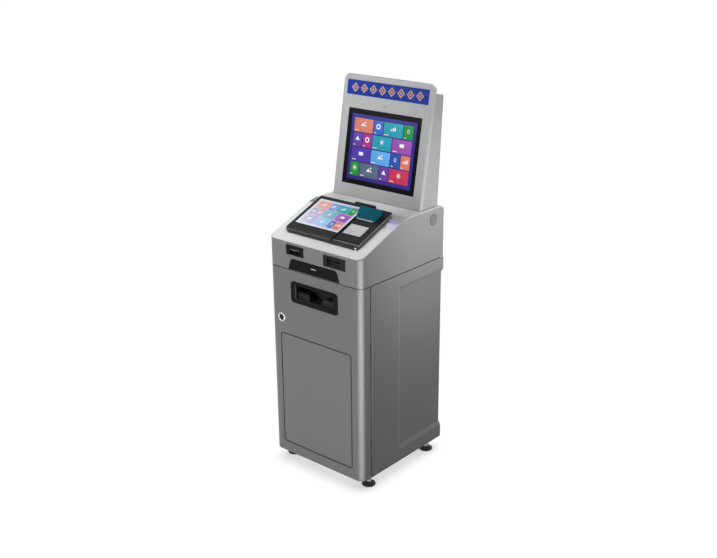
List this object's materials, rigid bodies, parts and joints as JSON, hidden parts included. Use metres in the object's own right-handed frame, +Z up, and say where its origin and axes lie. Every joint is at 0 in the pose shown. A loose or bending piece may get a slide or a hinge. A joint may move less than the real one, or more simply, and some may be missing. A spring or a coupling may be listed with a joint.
{
  "type": "self-service kiosk",
  "caption": "Free-standing steel self-service kiosk with a tilted monitor, a sloped desk with a touch terminal and slip printer, card readers, an output tray and a locking door.",
  "frame": {"origin": "on the floor, under the middle of the whole part's box", "axes": "+X to the right of a person who uses it, +Y from the front to the rear, +Z up"},
  "size_m": [0.494, 0.525, 1.592],
  "materials": {
    "door_grey": "satin powder coat",
    "panel_grey": "satin powder coat",
    "side_grey": "satin powder coat",
    "head_silver": "satin powder coat, grey front and paler desk",
    "monitor_silver": "fine metallic silver paint",
    "zinc_steel": "zinc-plated sheet",
    "chrome": "polished",
    "key_steel": "dull turned steel",
    "black_plastic": "fine moulded grain",
    "grey_plastic": "fine moulded grain",
    "terminal_dark": "satin dark grey",
    "teal_plastic": "tinted, polished",
    "pad_grey": "smooth",
    "display": "display cover glass",
    "black_glass": "black printed glass",
    "sign_blue": "blue panel with a gold line border",
    "rubber": "black rubber and steel stem",
    "paper": "paper",
    "inner_grey": "device housing",
    "box_steel": "dark painted sheet"
  },
  "bodies": {
    "cabinet": {"base_pan": "zinc_steel", "side_panel_right": "side_grey", "side_panel_left": "side_grey", "front_frame": "zinc_steel", "lock_keeper": "zinc_steel", "rear_frame": "zinc_steel", "top_deck": "zinc_steel", "printer_shelf": "zinc_steel", "front_hinge_leaves": "zinc_steel", "rear_hinge_leaves": "zinc_steel", "head_shell": "head_silver", "head_rear_panel": "side_grey", "side_caps": "head_silver", "mouth_bezel": "black_plastic", "document_feeder": "grey_plastic", "card_reader_bezel": "black_plastic", "card_reader_body": "grey_plastic", "dip_reader_bezel": "black_plastic", "dip_reader_body": "grey_plastic", "terminal_case": "terminal_dark", "tablet_body": "terminal_dark", "tablet_screen": "display", "terminal_cover": "terminal_dark", "id_card_pad": "pad_grey", "cable_cover": "black_plastic", "slip_printer_base": "black_plastic", "tear_bar": "pad_grey", "monitor_front": "monitor_silver", "monitor_shell": "side_grey", "monitor_rear_cover": "side_grey", "sign_panel": "sign_blue", "screen_surround": "black_glass", "monitor_screen": "display", "lcd_module": "box_steel", "camera_lens": "black_glass", "document_printer": "inner_grey", "pc_case": "box_steel", "power_box": "box_steel", "power_inlet": "black_plastic", "cover_screws": "zinc_steel"},
    "front_door": {"front_door": "door_grey", "door_panel": "panel_grey", "door_lock_ring": "chrome", "tray_bezel": "black_plastic", "tray_bin": "grey_plastic"},
    "door_lock": {"door_lock_cylinder": "key_steel"},
    "rear_door": {"rear_door": "side_grey", "rear_lock_ring": "chrome"},
    "rear_lock": {"rear_lock_cylinder": "key_steel"},
    "mouth_flap": {"mouth_flap": "black_plastic"},
    "slip_lid": {"slip_printer_lid": "teal_plastic"},
    "platen_roller": {"platen_roller": "rubber"},
    "paper_roll": {"paper_roll": "paper"},
    "pc_fan": {"pc_fan": "black_plastic"},
    "power_switch": {"power_switch": "black_plastic"},
    "terminal_button": {"terminal_button": "chrome"},
    "foot_front_left": {"foot_front_left": "rubber"},
    "foot_front_right": {"foot_front_right": "rubber"},
    "foot_rear_left": {"foot_rear_left": "rubber"},
    "foot_rear_right": {"foot_rear_right": "rubber"}
  },
  "joints": [
    {"name": "front_door_hinge", "type": "hinge", "parent": "cabinet", "child": "front_door", "pos_m": [0.237, -0.213, 0.4665], "axis": [0, 0, 1], "range_deg": [0, 95]},
    {"name": "door_lock_turn", "type": "hinge", "parent": "front_door", "child": "door_lock", "pos_m": [-0.183, -0.25, 0.666], "axis": [0, -1, 0], "range_deg": [0, 90]},
    {"name": "rear_door_hinge", "type": "hinge", "parent": "cabinet", "child": "rear_door", "pos_m": [-0.216, 0.252, 0.468], "axis": [0, 0, 1], "range_deg": [0, 110]},
    {"name": "rear_lock_turn", "type": "hinge", "parent": "rear_door", "child": "rear_lock", "pos_m": [0.186, 0.255, 0.468], "axis": [0, 1, 0], "range_deg": [0, 90]},
    {"name": "mouth_flap_hinge", "type": "hinge", "parent": "cabinet", "child": "mouth_flap", "pos_m": [0, -0.258, 0.9198], "axis": [-1, 0, 0], "range_deg": [0, 60]},
    {"name": "slip_lid_hinge", "type": "hinge", "parent": "cabinet", "child": "slip_lid", "pos_m": [0.105, -0.02518, 1.11687], "axis": [-1, 0, 0], "range_deg": [0, 75]},
    {"name": "platen_spin", "type": "hinge", "parent": "slip_lid", "child": "platen_roller", "pos_m": [0.105, -0.05522, 1.09759], "axis": [1, 0, 0], "continuous": true},
    {"name": "paper_roll_spin", "type": "hinge", "parent": "cabinet", "child": "paper_roll", "pos_m": [0.105, -0.03477, 1.08788], "axis": [1, 0, 0], "continuous": true},
    {"name": "pc_fan_spin", "type": "hinge", "parent": "cabinet", "child": "pc_fan", "pos_m": [-0.13, 0.19, 0.128], "axis": [0, 1, 0], "continuous": true},
    {"name": "power_switch_rock", "type": "hinge", "parent": "cabinet", "child": "power_switch", "pos_m": [-0.1, 0.24, 0.084], "axis": [1, 0, 0], "range_deg": [-20, 0]},
    {"name": "terminal_button_press", "type": "slide", "parent": "cabinet", "child": "terminal_button", "axis": [0, 0.9311, 0.3649], "range_m": [0, 0.001], "stiffness_N_per_m": 400, "springref_m": -0.0005},
    {"name": "foot_front_left_turn", "type": "hinge", "parent": "cabinet", "child": "foot_front_left", "pos_m": [-0.21, -0.182, 0.05], "axis": [0, 0, 1], "continuous": true},
    {"name": "foot_front_right_turn", "type": "hinge", "parent": "cabinet", "child": "foot_front_right", "pos_m": [0.21, -0.182, 0.05], "axis": [0, 0, 1], "continuous": true},
    {"name": "foot_rear_left_turn", "type": "hinge", "parent": "cabinet", "child": "foot_rear_left", "pos_m": [-0.21, 0.204, 0.05], "axis": [0, 0, 1], "continuous": true},
    {"name": "foot_rear_right_turn", "type": "hinge", "parent": "cabinet", "child": "foot_rear_right", "pos_m": [0.21, 0.204, 0.05], "axis": [0, 0, 1], "continuous": true}
  ]
}
